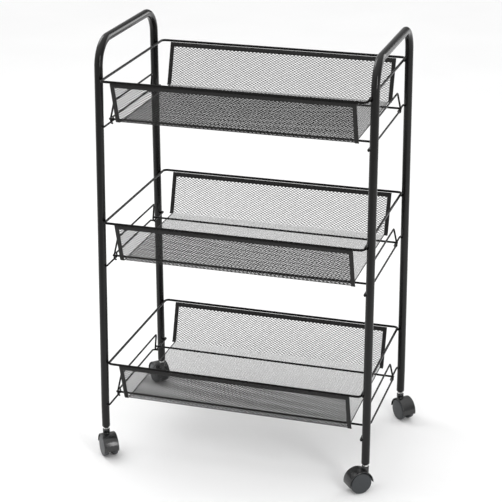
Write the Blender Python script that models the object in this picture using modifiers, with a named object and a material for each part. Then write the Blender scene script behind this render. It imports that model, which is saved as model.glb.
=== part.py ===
"""Three-tier rolling utility cart.

Two bent-tube side frames carry three wire-rimmed mesh trays on welded side rods, and roll on four
twin-wheel swivel casters.  Metres, +Z up, front towards -Y, floor at z = 0, centred on the Z axis.
"""
import math

import bmesh
import bpy
from mathutils import Matrix, Vector

# ---- clearances ----
GAP = 0.0003

# ---- side frames ----
FRAME_FOOT_X = 0.2324
FRAME_LEAN = 0.00713
TUBE_R = 0.0070
TUBE_WALL = 0.0012
TUBE_FOOT_Z = 0.0513
LEG_STRAIGHT_Z = 0.090
LEG_FOOT_Y = 0.1428
LEG_LEAN = 0.02235
HANDLE_Z = 0.7319
HANDLE_BEND_R = 0.042
BEND_STEPS = 7

# ---- tiers, given by the height of each basket's rim wire ----
TIERS = (("top", 0.6727), ("middle", 0.4309), ("bottom", 0.1732))

# ---- basket rim wire ----
RIM_WIRE_R = 0.0021
RIM_HALF_Y = 0.1480
RIM_CORNER_R = 0.007

# ---- mesh tray, in the section across the cart, measured from the rim wire ----
SHEET_T = 0.0008
SHEET_PRESSED_SHARE = 0.75   # thickness left at the ends that the band is crimped over
BAND_LEAF_T = 0.0005
BAND_T = SHEET_T + 2.0 * GAP + 2.0 * BAND_LEAF_T
BAND_W = 0.0070
BAND_TOP_W = 0.0076
SLOT_DEPTH = 0.0058
TRAY_HALF_X = 0.2029
TRAY_TOP_HALF_Y = 0.1466
TRAY_TOP_DROP = 0.0022
TRAY_FLOOR_HALF_Y = 0.1245
TRAY_FLOOR_DROP = 0.0727
FOLD_R = 0.0040
FOLD_STEPS = 3

# ---- wires under and beside the tray ----
CROSS_WIRE_R = 0.0018
CROSS_WIRE_Y = 0.0995
CROSS_WIRE_OVER = 0.0048
CROSS_WIRE_DROP = TRAY_FLOOR_DROP + BAND_T / 2.0 + GAP + CROSS_WIRE_R
ROD_R = 0.0016
ROD_SEAT_DROP = CROSS_WIRE_DROP + CROSS_WIRE_R + GAP + ROD_R
ROD_RAISED_OUT = 0.0043
ROD_RAISED_DROP = 0.0769
ROD_STEP_OUTER_Y = 0.0925
ROD_STEP_INNER_Y = 0.0845
ROD_WRAP_DEG = 40.0
HANGER_R = 0.0016
HANGER_TOP_IN = 0.0012
HANGER_TOP_Y = 0.0897
HANGER_TOP_DROP = 0.0472
HANGER_BEND_R = 0.0040
HANGER_FOOT_Y = CROSS_WIRE_Y - CROSS_WIRE_R - GAP - HANGER_R
HANGER_TIP_Y = 0.1000
HOOK_DEG = 110.0

# ---- casters ----
SOCKET_R = TUBE_R - 0.0002
SOCKET_FACE_Z = 0.0483
SOCKET_BODY_R = TUBE_R - TUBE_WALL - GAP
SOCKET_BODY_TOP_Z = 0.0760
SOCKET_EDGE_R = 0.0025
SOCKET_EDGE_STEPS = 3
STEM_R = 0.0035
STEM_BORE_R = STEM_R + GAP
STEM_TOP_Z = 0.0730
STEM_FOOT_Z = 0.0378
STEM_TIP_CHAMFER = 0.0008
COLLAR_R = 0.0048
COLLAR_TOP_Z = 0.0478
NECK_TOP_Z = 0.0445
NECK_R = 0.0062
NECK_FOOT_Z = 0.0275
BORE_FOOT_Z = STEM_FOOT_Z - GAP
TRAIL = 0.0120
WHEEL_R = 0.0188
HOOD_R = 0.0220
HOOD_WALL = 0.0011
HOOD_W = 0.0262
HOOD_FRONT_DEG = 0.0
HOOD_BACK_DEG = 189.0
HOOD_STEPS = 16
WEB_W = 0.0080
WEB_BOSS_R = 0.0048
WEB_BOSS_STEPS = 6
WEB_FRONT_TRIM_DEG = 2.0
WEB_BACK_TRIM_DEG = 13.0
AXLE_R = 0.0016
AXLE_HALF_L = 0.0095
AXLE_BORE_R = AXLE_R + GAP
WHEEL_SIDE_GAP = 0.0005
WHEEL_INNER_X = WEB_W / 2.0 + WHEEL_SIDE_GAP
WHEEL_OUTER_X = 0.0125
WHEEL_EDGE_R = 0.0020
WHEEL_EDGE_STEPS = 3
WHEEL_CROWN = 0.0006
WHEEL_BORE_X = AXLE_HALF_L + GAP

# caster name, side, end and the way each caster is turned about its stem
CASTERS = (
    ("front_left", -1.0, -1.0, 38.0),
    ("front_right", 1.0, -1.0, -51.0),
    ("rear_left", -1.0, 1.0, 225.0),
    ("rear_right", 1.0, 1.0, 43.0),
)

# ---- facets ----
TUBE_BEVEL_STEPS = 6
WIRE_BEVEL_STEPS = 2
CORNER_STEPS = 4
ROUND_SIDES = 24
PIN_SIDES = 14
SMOOTH_DEG = 35.0

# ---- finishes: colour, roughness, metallic ----
FINISHES = {
    "black_powder_coat": ((0.022, 0.022, 0.022, 1.0), 0.42, 0.0),
    "black_mesh": ((0.030, 0.030, 0.032, 1.0), 0.50, 0.0),
    "black_plastic": ((0.018, 0.018, 0.019, 1.0), 0.30, 0.0),
    "grey_wheel_plastic": ((0.095, 0.100, 0.105, 1.0), 0.45, 0.0),
    "zinc_steel": ((0.70, 0.70, 0.69, 1.0), 0.28, 1.0),
}


def clear_scene():
    for old in list(bpy.data.objects):
        bpy.data.objects.remove(old, do_unlink=True)


def new_collection(name):
    made = bpy.data.collections.new(name)
    bpy.context.scene.collection.children.link(made)
    return made


def new_material(part_name, finish):
    colour, roughness, metallic = FINISHES[finish]
    made = bpy.data.materials.new(part_name + "_" + finish)
    made.use_nodes = True
    shader = made.node_tree.nodes["Principled BSDF"]
    shader.inputs["Base Color"].default_value = colour
    shader.inputs["Roughness"].default_value = roughness
    shader.inputs["Metallic"].default_value = metallic
    made.diffuse_color = colour
    return made


def add_part(name, mesh, finish, location=(0.0, 0.0, 0.0), rotation=(0.0, 0.0, 0.0), parent=None):
    """Put a mesh in the cart's collection as one named part."""
    mesh.name = name
    part = bpy.data.objects.new(name, mesh)
    CART.objects.link(part)
    part.parent = parent
    part.location = location
    part.rotation_euler = rotation
    mesh.materials.clear()
    mesh.materials.append(new_material(name, finish))
    return part


def smooth(mesh):
    """Shade round pieces smooth and keep their real edges sharp."""
    mesh.shade_smooth()
    mesh.set_sharp_from_angle(angle=math.radians(SMOOTH_DEG))


def rounded_path(corners, radius, steps, closed=False):
    """Polyline through the corners with every inner corner turned into an arc."""
    corners = [Vector(c) for c in corners]
    count = len(corners)
    path = []
    for i, corner in enumerate(corners):
        if not closed and i in (0, count - 1):
            path.append(corner)
            continue
        back = (corners[i - 1] - corner).normalized()
        ahead = (corners[(i + 1) % count] - corner).normalized()
        half = back.angle(ahead) / 2.0
        run = radius / math.tan(half)
        middle = (back + ahead).normalized()
        centre = corner + middle * (radius / math.sin(half))
        start = corner + back * run - centre
        end = corner + ahead * run - centre
        sweep = start.angle(end)
        for k in range(steps + 1):
            t = k / steps
            a = math.sin((1.0 - t) * sweep) / math.sin(sweep)
            b = math.sin(t * sweep) / math.sin(sweep)
            path.append(centre + start * a + end * b)
    return path


def swept_mesh(path, radius, bevel_steps, closed=False, capped=True):
    """Round bar or tube skin along a polyline, as one mesh."""
    curve = bpy.data.curves.new("sweep", "CURVE")
    curve.dimensions = "3D"
    curve.bevel_depth = radius
    curve.bevel_resolution = bevel_steps
    curve.use_fill_caps = capped
    spline = curve.splines.new("POLY")
    spline.points.add(len(path) - 1)
    for point, place in zip(spline.points, path):
        point.co = (place[0], place[1], place[2], 1.0)
    spline.use_cyclic_u = closed
    return baked(bpy.data.objects.new("sweep", curve))


def baked(source):
    """Turn an object with its modifiers into a plain welded mesh and drop the object."""
    bpy.context.scene.collection.objects.link(source)
    bpy.context.view_layer.update()
    shape = source.evaluated_get(bpy.context.evaluated_depsgraph_get())
    mesh = bpy.data.meshes.new_from_object(shape)
    bpy.data.objects.remove(source, do_unlink=True)
    work = bmesh.new()
    work.from_mesh(mesh)
    bmesh.ops.remove_doubles(work, verts=work.verts, dist=0.000001)
    work.to_mesh(mesh)
    work.free()
    return mesh


def outline_mesh(outline, depth):
    """Flat outline in X and Y, given a thickness centred on Z."""
    curve = bpy.data.curves.new("outline", "CURVE")
    curve.dimensions = "2D"
    curve.fill_mode = "BOTH"
    curve.extrude = depth / 2.0
    spline = curve.splines.new("POLY")
    spline.points.add(len(outline) - 1)
    for point, place in zip(spline.points, outline):
        point.co = (place[0], place[1], 0.0, 1.0)
    spline.use_cyclic_u = True
    return baked(bpy.data.objects.new("outline", curve))


def turned_mesh(profile, sides, closed_profile=False):
    """Turn an outer profile of (radius, height) about Z; open ends lie on the axis."""
    mesh = bpy.data.meshes.new("turned")
    count = len(profile)
    edges = [(i, i + 1) for i in range(count - 1)]
    if closed_profile:
        edges.append((count - 1, 0))
    mesh.from_pydata([(r, 0.0, z) for r, z in profile], edges, [])
    source = bpy.data.objects.new("turned", mesh)
    screw = source.modifiers.new("turn", "SCREW")
    screw.steps = sides
    screw.render_steps = sides
    screw.use_merge_vertices = True
    screw.merge_threshold = 0.00001
    screw.use_smooth_shade = True
    made = baked(source)
    work = bmesh.new()
    work.from_mesh(made)
    bmesh.ops.recalc_face_normals(work, faces=work.faces)
    work.to_mesh(made)
    work.free()
    return made


def pin_mesh(radius, length, sides):
    """Plain round pin centred on the origin, along Z."""
    work = bmesh.new()
    bmesh.ops.create_cone(work, cap_ends=True, segments=sides, radius1=radius, radius2=radius,
                          depth=length)
    mesh = bpy.data.meshes.new("pin")
    work.to_mesh(mesh)
    work.free()
    return mesh


def joined_mesh(base, steps):
    """Apply a list of (operation, mesh) Booleans to a base mesh, exactly."""
    body = bpy.data.objects.new("body", base)
    helpers = []
    for operation, shape in steps:
        helper = bpy.data.objects.new("helper", shape)
        bpy.context.scene.collection.objects.link(helper)
        helpers.append(helper)
        cut = body.modifiers.new("cut", "BOOLEAN")
        cut.operation = operation
        cut.solver = "EXACT"
        cut.object = helper
    made = baked(body)
    for helper in helpers:
        bpy.data.objects.remove(helper, do_unlink=True)
    return made


def moved(mesh, matrix):
    mesh.transform(matrix)
    return mesh


def arc(centre, radius, start_deg, end_deg, steps):
    """Points (u, v) of an arc in a plane."""
    points = []
    for k in range(steps + 1):
        a = math.radians(start_deg + (end_deg - start_deg) * k / steps)
        points.append((centre[0] + radius * math.cos(a), centre[1] + radius * math.sin(a)))
    return points


def leg_y(z):
    """Distance of a leg's centre from the plane between front and rear; legs lean together."""
    return LEG_FOOT_Y - LEG_LEAN * max(0.0, z - LEG_STRAIGHT_Z)


def frame_x(z):
    """Distance of a side frame's centre from the cart's middle plane; frames lean together a little."""
    return FRAME_FOOT_X - FRAME_LEAN * max(0.0, z - LEG_STRAIGHT_Z)


def rod_seat(rim_z):
    """Height of a side rod's centre and its distance from the middle plane, inside the tubes."""
    seat_z = rim_z - ROD_SEAT_DROP
    return seat_z, frame_x(seat_z) - TUBE_R - GAP - ROD_R


# ---------------------------------------------------------------- side frames
def side_frame(side):
    """Upside-down U of tube: two legs that lean together, and the top bar as handle."""
    top_y = leg_y(HANDLE_Z)
    top_x = side * (frame_x(HANDLE_Z) - FRAME_FOOT_X)
    upper = rounded_path(
        [(0.0, -LEG_FOOT_Y, LEG_STRAIGHT_Z), (top_x, -top_y, HANDLE_Z), (top_x, top_y, HANDLE_Z),
         (0.0, LEG_FOOT_Y, LEG_STRAIGHT_Z)], HANDLE_BEND_R, BEND_STEPS)
    foot = Vector((0.0, -LEG_FOOT_Y, TUBE_FOOT_Z))
    far_foot = Vector((0.0, LEG_FOOT_Y, TUBE_FOOT_Z))
    skin = swept_mesh([foot] + upper + [far_foot], TUBE_R, TUBE_BEVEL_STEPS, capped=False)
    source = bpy.data.objects.new("frame", skin)
    wall = source.modifiers.new("wall", "SOLIDIFY")
    wall.thickness = TUBE_WALL
    wall.offset = -1.0
    wall.use_even_offset = True
    mesh = baked(source)
    smooth(mesh)
    name = "side_frame_left" if side < 0 else "side_frame_right"
    return add_part(name, mesh, "black_powder_coat", location=(side * FRAME_FOOT_X, 0.0, 0.0))


def side_rod(tier, rim_z, side):
    """Welded wire from leg to leg: ends hug the tubes, middle stepped out and up between two seats."""
    seat_z, seat_x = rod_seat(rim_z)
    lift = ROD_SEAT_DROP - ROD_RAISED_DROP
    wrap_r = TUBE_R + GAP + ROD_R
    raised_x = seat_x + ROD_RAISED_OUT
    half = [(side * raised_x, ROD_STEP_INNER_Y, lift), (side * seat_x, ROD_STEP_OUTER_Y, 0.0)]
    tube = (frame_x(seat_z), leg_y(seat_z))
    for x, y in arc(tube, wrap_r, 180.0, 180.0 - ROD_WRAP_DEG, CORNER_STEPS):
        half.append((side * x, y, 0.0))
    path = [(x, -y, z) for x, y, z in reversed(half)] + half
    mesh = swept_mesh(path, ROD_R, WIRE_BEVEL_STEPS)
    smooth(mesh)
    name = tier + ("_side_rod_left" if side < 0 else "_side_rod_right")
    return add_part(name, mesh, "black_powder_coat", location=(0.0, 0.0, seat_z))


# ---------------------------------------------------------------- baskets
def rim_wire(tier, rim_z):
    """Closed ring of wire that fits between the side frames at its own height."""
    half_x = frame_x(rim_z) - TUBE_R - GAP - RIM_WIRE_R
    corners = [(-half_x, -RIM_HALF_Y, 0.0), (half_x, -RIM_HALF_Y, 0.0),
               (half_x, RIM_HALF_Y, 0.0), (-half_x, RIM_HALF_Y, 0.0)]
    path = rounded_path(corners, RIM_CORNER_R, CORNER_STEPS, closed=True)
    mesh = swept_mesh(path, RIM_WIRE_R, WIRE_BEVEL_STEPS, closed=True)
    smooth(mesh)
    return add_part(tier + "_rim_wire", mesh, "black_powder_coat", location=(0.0, 0.0, rim_z))


def tray_section():
    """Front wall, floor and back wall of the folded sheet, as (y, z) from the rim wire."""
    corners = [(0.0, -TRAY_TOP_HALF_Y, -TRAY_TOP_DROP), (0.0, -TRAY_FLOOR_HALF_Y, -TRAY_FLOOR_DROP),
               (0.0, TRAY_FLOOR_HALF_Y, -TRAY_FLOOR_DROP), (0.0, TRAY_TOP_HALF_Y, -TRAY_TOP_DROP)]
    return [(p.y, p.z) for p in rounded_path(corners, FOLD_R, FOLD_STEPS)]


def inset_section(distance):
    """The same section with both upper ends drawn back along the walls."""
    section = [Vector(p) for p in tray_section()]
    section[0] += (section[1] - section[0]).normalized() * distance
    section[-1] += (section[-2] - section[-1]).normalized() * distance
    return [tuple(p) for p in section]


def folded_mesh(section, columns, thickness, skip_middle, end_share=1.0):
    """Solid folded sheet over the x columns; its inner field can be left out, its ends pressed thinner."""
    rows = len(section)
    mesh = bpy.data.meshes.new("folded")
    points = [(x, y, z) for x in columns for y, z in section]
    faces = []
    for i in range(len(columns) - 1):
        for j in range(rows - 1):
            inner = 0 < i < len(columns) - 2 and 0 < j < rows - 2
            if not (skip_middle and inner):
                a = i * rows + j
                faces.append((a, a + rows, a + rows + 1, a + 1))
    mesh.from_pydata(points, [], faces)
    source = bpy.data.objects.new("folded", mesh)
    share = source.vertex_groups.new(name="share")
    last_column = rows * (len(columns) - 1)
    share.add(list(range(rows, last_column)), 1.0, "REPLACE")
    share.add(list(range(rows)) + list(range(last_column, last_column + rows)), end_share, "REPLACE")
    solid = source.modifiers.new("thickness", "SOLIDIFY")
    solid.thickness = thickness
    solid.vertex_group = share.name
    solid.offset = 0.0
    solid.use_even_offset = True
    return baked(source)


def edge_band(tier, rim_z):
    """Folded steel channel bound round the sheet's whole edge."""
    outer = tray_section()
    inner = inset_section(BAND_TOP_W)
    section = [outer[0], inner[0]] + outer[1:-1] + [inner[-1], outer[-1]]
    columns = [-TRAY_HALF_X, -TRAY_HALF_X + BAND_W, TRAY_HALF_X - BAND_W, TRAY_HALF_X]
    mesh = folded_mesh(section, columns, BAND_T, skip_middle=True)
    edge = BAND_W - SLOT_DEPTH
    reach = TRAY_HALF_X - edge
    slot = folded_mesh(inset_section(edge), [-reach, reach], SHEET_T + 2.0 * GAP, skip_middle=False)
    mesh = joined_mesh(mesh, [("DIFFERENCE", slot)])
    return add_part(tier + "_edge_band", mesh, "black_powder_coat", location=(0.0, 0.0, rim_z))


def mesh_tray(tier, rim_z):
    """The expanded-metal sheet, kept as a thin solid sheet, its edges inside the band's grip."""
    edge = BAND_W - SLOT_DEPTH + GAP
    reach = TRAY_HALF_X - edge
    field = TRAY_HALF_X - BAND_W - GAP
    mesh = folded_mesh(inset_section(edge), [-reach, -field, field, reach], SHEET_T, skip_middle=False,
                       end_share=SHEET_PRESSED_SHARE)
    return add_part(tier + "_mesh_tray", mesh, "black_mesh", location=(0.0, 0.0, rim_z))


def cross_wire(tier, rim_z, end):
    """Straight wire under the tray; its ends lie on the side rods."""
    half_x = rod_seat(rim_z)[1] + CROSS_WIRE_OVER
    path = [(-half_x, 0.0, 0.0), (half_x, 0.0, 0.0)]
    mesh = swept_mesh(path, CROSS_WIRE_R, WIRE_BEVEL_STEPS)
    smooth(mesh)
    name = tier + ("_cross_wire_front" if end < 0 else "_cross_wire_rear")
    place = (0.0, end * CROSS_WIRE_Y, rim_z - CROSS_WIRE_DROP)
    return add_part(name, mesh, "black_powder_coat", location=place)


def end_hanger(tier, rim_z, side):
    """Wire bridge over the tray's end; both feet pass outside the side rod and hook under it."""
    hook_r = ROD_R + GAP + HANGER_R
    seat_x = rod_seat(rim_z)[1]
    foot_x = seat_x + hook_r
    top_x = seat_x - HANGER_TOP_IN
    top = rounded_path(
        [(foot_x, -HANGER_FOOT_Y, -CROSS_WIRE_DROP), (top_x, -HANGER_TOP_Y, -HANGER_TOP_DROP),
         (top_x, HANGER_TOP_Y, -HANGER_TOP_DROP), (foot_x, HANGER_FOOT_Y, -CROSS_WIRE_DROP)],
        HANGER_BEND_R, CORNER_STEPS)
    turn = arc((seat_x, -ROD_SEAT_DROP), hook_r, 0.0, -HOOK_DEG, CORNER_STEPS)
    hook = []
    for k, (x, z) in enumerate(turn):
        y = HANGER_FOOT_Y + (HANGER_TIP_Y - HANGER_FOOT_Y) * k / CORNER_STEPS
        hook.append(Vector((x, y, z)))
    near = [Vector((p.x, -p.y, p.z)) for p in reversed(hook)]
    path = [(side * p.x, p.y, p.z) for p in near + top + hook]
    mesh = swept_mesh(path, HANGER_R, WIRE_BEVEL_STEPS)
    smooth(mesh)
    name = tier + ("_hanger_left" if side < 0 else "_hanger_right")
    return add_part(name, mesh, "black_powder_coat", location=(0.0, 0.0, rim_z))


# ---------------------------------------------------------------- casters
def socket_mesh():
    """Plug in the tube's end: rounded face below, body inside the tube, bore for the stem."""
    face = 0.0
    shoulder = TUBE_FOOT_Z - GAP - SOCKET_FACE_Z
    top = SOCKET_BODY_TOP_Z - SOCKET_FACE_Z
    edge = arc((SOCKET_R - SOCKET_EDGE_R, SOCKET_EDGE_R), SOCKET_EDGE_R, 0.0, -90.0,
               SOCKET_EDGE_STEPS)
    profile = [(STEM_BORE_R, top), (SOCKET_BODY_R, top), (SOCKET_BODY_R, shoulder), (SOCKET_R, shoulder)]
    profile += edge
    profile += [(STEM_BORE_R, face)]
    return turned_mesh(profile, ROUND_SIDES, closed_profile=True)


def stem_mesh():
    """Pin with a collar, heights measured from the neck's top face."""
    top = STEM_TOP_Z - NECK_TOP_Z
    collar_top = COLLAR_TOP_Z - NECK_TOP_Z
    foot = STEM_FOOT_Z - NECK_TOP_Z
    profile = [(0.0, top), (STEM_R - STEM_TIP_CHAMFER, top), (STEM_R, top - STEM_TIP_CHAMFER),
               (STEM_R, collar_top), (COLLAR_R, collar_top), (COLLAR_R, GAP), (STEM_R, GAP),
               (STEM_R, foot), (0.0, foot)]
    return turned_mesh(profile, PIN_SIDES)


def side_outline_matrix():
    """Takes a side outline (u forward, v up) to X across, Y forward, Z up."""
    return Matrix(((0.0, 0.0, 1.0, 0.0), (1.0, 0.0, 0.0, 0.0), (0.0, 1.0, 0.0, 0.0), (0.0, 0.0, 0.0, 1.0)))


def hood_mesh():
    """Mudguard, web and neck in one moulding; origin on the stem's axis at axle height."""
    axle = (-TRAIL, 0.0)
    outer = arc(axle, HOOD_R, HOOD_FRONT_DEG, HOOD_BACK_DEG, HOOD_STEPS)
    inner = arc(axle, HOOD_R - HOOD_WALL, HOOD_BACK_DEG, HOOD_FRONT_DEG, HOOD_STEPS)
    to_side = side_outline_matrix()
    guard = moved(outline_mesh(outer + inner, HOOD_W), to_side)
    web_top = arc(axle, HOOD_R - HOOD_WALL / 2.0, HOOD_FRONT_DEG + WEB_FRONT_TRIM_DEG,
                  HOOD_BACK_DEG - WEB_BACK_TRIM_DEG, HOOD_STEPS)
    web_boss = arc(axle, WEB_BOSS_R, -180.0, 0.0, WEB_BOSS_STEPS)
    web = moved(outline_mesh(web_top + web_boss, WEB_W), to_side)
    neck_l = NECK_TOP_Z - NECK_FOOT_Z
    neck_mid = (NECK_TOP_Z + NECK_FOOT_Z) / 2.0 - WHEEL_R
    neck = moved(pin_mesh(NECK_R, neck_l, ROUND_SIDES), Matrix.Translation((0.0, 0.0, neck_mid)))
    across = Matrix.Translation((0.0, -TRAIL, 0.0)) @ Matrix.Rotation(math.radians(90.0), 4, "Y")
    wheel_space = moved(pin_mesh(HOOD_R - HOOD_WALL / 2.0, HOOD_W, ROUND_SIDES), across)
    neck = joined_mesh(neck, [("DIFFERENCE", wheel_space)])
    bore_top = NECK_TOP_Z + GAP
    bore_mid = (bore_top + BORE_FOOT_Z) / 2.0 - WHEEL_R
    bore = moved(pin_mesh(STEM_BORE_R, bore_top - BORE_FOOT_Z, PIN_SIDES),
                 Matrix.Translation((0.0, 0.0, bore_mid)))
    axle_hole = moved(pin_mesh(AXLE_BORE_R, WEB_W * 2.0, PIN_SIDES), across)
    mesh = joined_mesh(guard, [("UNION", web), ("UNION", neck), ("DIFFERENCE", bore),
                               ("DIFFERENCE", axle_hole)])
    smooth(mesh)
    return mesh


def wheel_mesh():
    """One wheel, turned about its axle: rounded tread, closed crowned face, blind bore."""
    rim = WHEEL_R - WHEEL_EDGE_R
    outer = arc((rim, WHEEL_OUTER_X - WHEEL_EDGE_R), WHEEL_EDGE_R, 90.0, 0.0, WHEEL_EDGE_STEPS)
    inner = arc((rim, WHEEL_INNER_X + WHEEL_EDGE_R), WHEEL_EDGE_R, 0.0, -90.0, WHEEL_EDGE_STEPS)
    profile = [(0.0, WHEEL_OUTER_X + WHEEL_CROWN), (rim / 2.0, WHEEL_OUTER_X + WHEEL_CROWN * 0.75)]
    profile += outer + inner
    profile += [(AXLE_BORE_R, WHEEL_INNER_X), (AXLE_BORE_R, WHEEL_BORE_X), (0.0, WHEEL_BORE_X)]
    return turned_mesh(profile, ROUND_SIDES)


def caster(name, side, end, turn_deg):
    """Socket in the leg's end, and the turned stem, hood, axle and wheel pair under it."""
    x = side * FRAME_FOOT_X
    y = end * LEG_FOOT_Y
    turn = (0.0, 0.0, math.radians(turn_deg))
    socket = socket_mesh()
    smooth(socket)
    add_part(name + "_caster_socket", socket, "black_plastic", location=(x, y, SOCKET_FACE_Z))
    hood = add_part(name + "_caster_hood", HOOD.copy(), "black_plastic", location=(x, y, WHEEL_R),
                    rotation=turn)
    stem = stem_mesh()
    smooth(stem)
    add_part(name + "_caster_stem", stem, "zinc_steel", location=(0.0, 0.0, NECK_TOP_Z - WHEEL_R),
             parent=hood)
    lying = (0.0, math.radians(90.0), 0.0)
    axle = pin_mesh(AXLE_R, 2.0 * AXLE_HALF_L, PIN_SIDES)
    smooth(axle)
    add_part(name + "_caster_axle", axle, "zinc_steel", location=(0.0, -TRAIL, 0.0), rotation=lying,
             parent=hood)
    for hand, flip in (("a", 1.0), ("b", -1.0)):
        wheel = wheel_mesh()
        smooth(wheel)
        facing = (0.0, math.radians(90.0) * flip, 0.0)
        add_part(name + "_wheel_" + hand, wheel, "grey_wheel_plastic", location=(0.0, -TRAIL, 0.0),
                 rotation=facing, parent=hood)


clear_scene()
CART = new_collection("rolling_utility_cart")
HOOD = hood_mesh()
for hand_side in (-1.0, 1.0):
    side_frame(hand_side)
for tier_name, tier_z in TIERS:
    rim_wire(tier_name, tier_z)
    mesh_tray(tier_name, tier_z)
    edge_band(tier_name, tier_z)
    for hand_side in (-1.0, 1.0):
        side_rod(tier_name, tier_z, hand_side)
        end_hanger(tier_name, tier_z, hand_side)
        cross_wire(tier_name, tier_z, hand_side)
for caster_name, caster_side, caster_end, caster_turn in CASTERS:
    caster(caster_name, caster_side, caster_end, caster_turn)
bpy.context.view_layer.update()
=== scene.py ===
"""Looks of the rolling utility cart: tubes, wires, expanded mesh, casters, floor and light."""

import math

import bmesh
import bpy
import numpy as np
from mathutils import Matrix, Vector


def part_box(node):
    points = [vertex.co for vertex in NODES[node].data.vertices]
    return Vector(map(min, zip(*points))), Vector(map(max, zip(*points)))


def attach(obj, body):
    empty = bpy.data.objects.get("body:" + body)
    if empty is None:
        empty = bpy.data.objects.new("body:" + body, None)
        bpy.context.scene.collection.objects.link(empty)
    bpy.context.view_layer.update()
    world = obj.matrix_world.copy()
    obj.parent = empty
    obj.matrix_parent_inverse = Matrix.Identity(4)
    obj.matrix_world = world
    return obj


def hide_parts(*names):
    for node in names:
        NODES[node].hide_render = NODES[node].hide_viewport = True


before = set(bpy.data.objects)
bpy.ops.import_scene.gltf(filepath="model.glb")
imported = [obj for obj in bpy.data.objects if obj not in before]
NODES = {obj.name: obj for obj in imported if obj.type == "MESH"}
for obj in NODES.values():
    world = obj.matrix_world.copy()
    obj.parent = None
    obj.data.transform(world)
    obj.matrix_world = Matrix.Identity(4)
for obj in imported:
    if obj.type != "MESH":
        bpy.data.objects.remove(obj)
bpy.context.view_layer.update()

# ---- shape of the cart, in metres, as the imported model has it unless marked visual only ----
GAP = 0.0003
FRAME_FOOT_X = 0.2324
FRAME_LEAN = 0.00713
TUBE_R = 0.0070
TUBE_WALL = 0.0012
SKIN = 0.00002  # visual only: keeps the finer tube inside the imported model's box
TUBE_FOOT_Z = 0.0513
LEG_STRAIGHT_Z = 0.090
LEG_FOOT_Y = 0.1428
LEG_LEAN = 0.02235
HANDLE_Z = 0.7319
HANDLE_BEND_R = 0.042
TIERS = ("top", "middle", "bottom")
RIM_WIRE_R = 0.0021
RIM_HALF_Y = 0.1480
RIM_CORNER_R = 0.007
BAND_T = 0.0024
BAND_W = 0.0070
BAND_TOP_W = 0.0076
BAND_ROUND = 0.29  # edge rounding, as a share of the thickness
TRAY_HALF_X = 0.2029
TRAY_TOP_HALF_Y = 0.1466
TRAY_TOP_DROP = 0.0022
TRAY_FLOOR_HALF_Y = 0.1245
TRAY_FLOOR_DROP = 0.0727
FOLD_R = 0.0040
FLOOR_EDGE_W = 0.0016  # visual only, as are the next two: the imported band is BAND_W wide here
FLOOR_EDGE_T = 0.0016
FLOOR_EDGE_Y = 0.1225
CROSS_WIRE_R = 0.0018
CROSS_WIRE_Y = 0.0995
CROSS_WIRE_OVER = 0.0048
CROSS_TIP_ROUND = 0.0006
CROSS_WIRE_DROP = TRAY_FLOOR_DROP + BAND_T / 2.0 + GAP + CROSS_WIRE_R
ROD_R = 0.0016
ROD_SEAT_DROP = CROSS_WIRE_DROP + CROSS_WIRE_R + GAP + ROD_R
ROD_RAISED_OUT = 0.0043
ROD_RAISED_DROP = 0.0769
ROD_STEP_OUTER_Y = 0.0925
ROD_STEP_INNER_Y = 0.0845
ROD_WRAP_DEG = 40.0
ROD_BEND_R = 0.0035
ROD_TIP_ROUND = 0.0005
HANGER_R = 0.0016
HANGER_TOP_IN = 0.0012
HANGER_TOP_Y = 0.0897
HANGER_TOP_DROP = 0.0472
HANGER_BEND_R = 0.0040
HANGER_FOOT_Y = CROSS_WIRE_Y - CROSS_WIRE_R - GAP - HANGER_R
HANGER_TIP_Y = 0.1000
HOOK_DEG = 110.0
HOOK_TIP_ROUND = 0.0005
HOOK_STEPS = 10
RIM_WELD_SIZE = (0.0013, 0.0034, 0.0013)  # visual only, as are the next two
RIM_WELD_GAP = 0.0004
ROD_WELD_SIZE = (0.0015, 0.0032, 0.0015)
SOCKET_R = TUBE_R - 0.0002
SOCKET_FACE_Z = 0.0483
SOCKET_EDGE_R = 0.0025
PLUG_R = 0.0055
PLUG_TOP_R = 0.0052
PLUG_TOP_Z = 0.0755
PLUG_EDGE_Z = 0.0750
STEM_R = 0.0035
STEM_TOP_Z = 0.0730
STEM_FOOT_Z = 0.0400
STEM_EDGE = 0.0008
COLLAR_R = 0.0048
COLLAR_TOP_Z = 0.0478
COLLAR_TOP_EDGE = 0.0004
COLLAR_FOOT_EDGE = 0.0003
NECK_TOP_Z = 0.0445
NECK_R = 0.0062
NECK_FOOT_Z = 0.0275
NECK_EDGE = 0.0007
NECK_EDGE_INNER = 0.0002
TRAIL = 0.0120
WHEEL_R = 0.0188
HOOD_R = 0.0220
HOOD_WALL = 0.0011
HOOD_W = 0.0262
HOOD_BACK_DEG = 189.0
HOOD_SHOULDER_R = 0.0010
HOOD_STEPS = 56
WEB_W = 0.0080
WEB_BOSS_R = 0.0048
WEB_FRONT_DEG = 2.0
WEB_BACK_DEG = HOOD_BACK_DEG - 13.0
WHEEL_INNER_X = 0.0045
WHEEL_OUTER_X = 0.0125
WHEEL_EDGE_R = 0.0020
WHEEL_CROWN = 0.0006
WHEEL_HUB_R = 0.0030  # visual only, as is the next: a recess round the axle, not a through bore
WHEEL_HUB_DEPTH = 0.0012
CASTERS = {
    "front_left": (-1.0, -1.0, 38.0),
    "front_right": (1.0, -1.0, -51.0),
    "rear_left": (-1.0, 1.0, 225.0),
    "rear_right": (1.0, 1.0, 43.0),
}

# ---- expanded metal, visual only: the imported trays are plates; width and tilt are fitted ----
DIAMOND_LONG = 0.0068
DIAMOND_SHORT = 0.0042
STRAND_W = 0.00081
STRAND_T = 0.00036
STRAND_TILT_DEG = -24.0
STRAND_OVERLAP = 0.40  # share of the width shared at a knuckle
STRAND_END_IN = 0.0016
TANGENT_STEP = 0.0004

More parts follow.
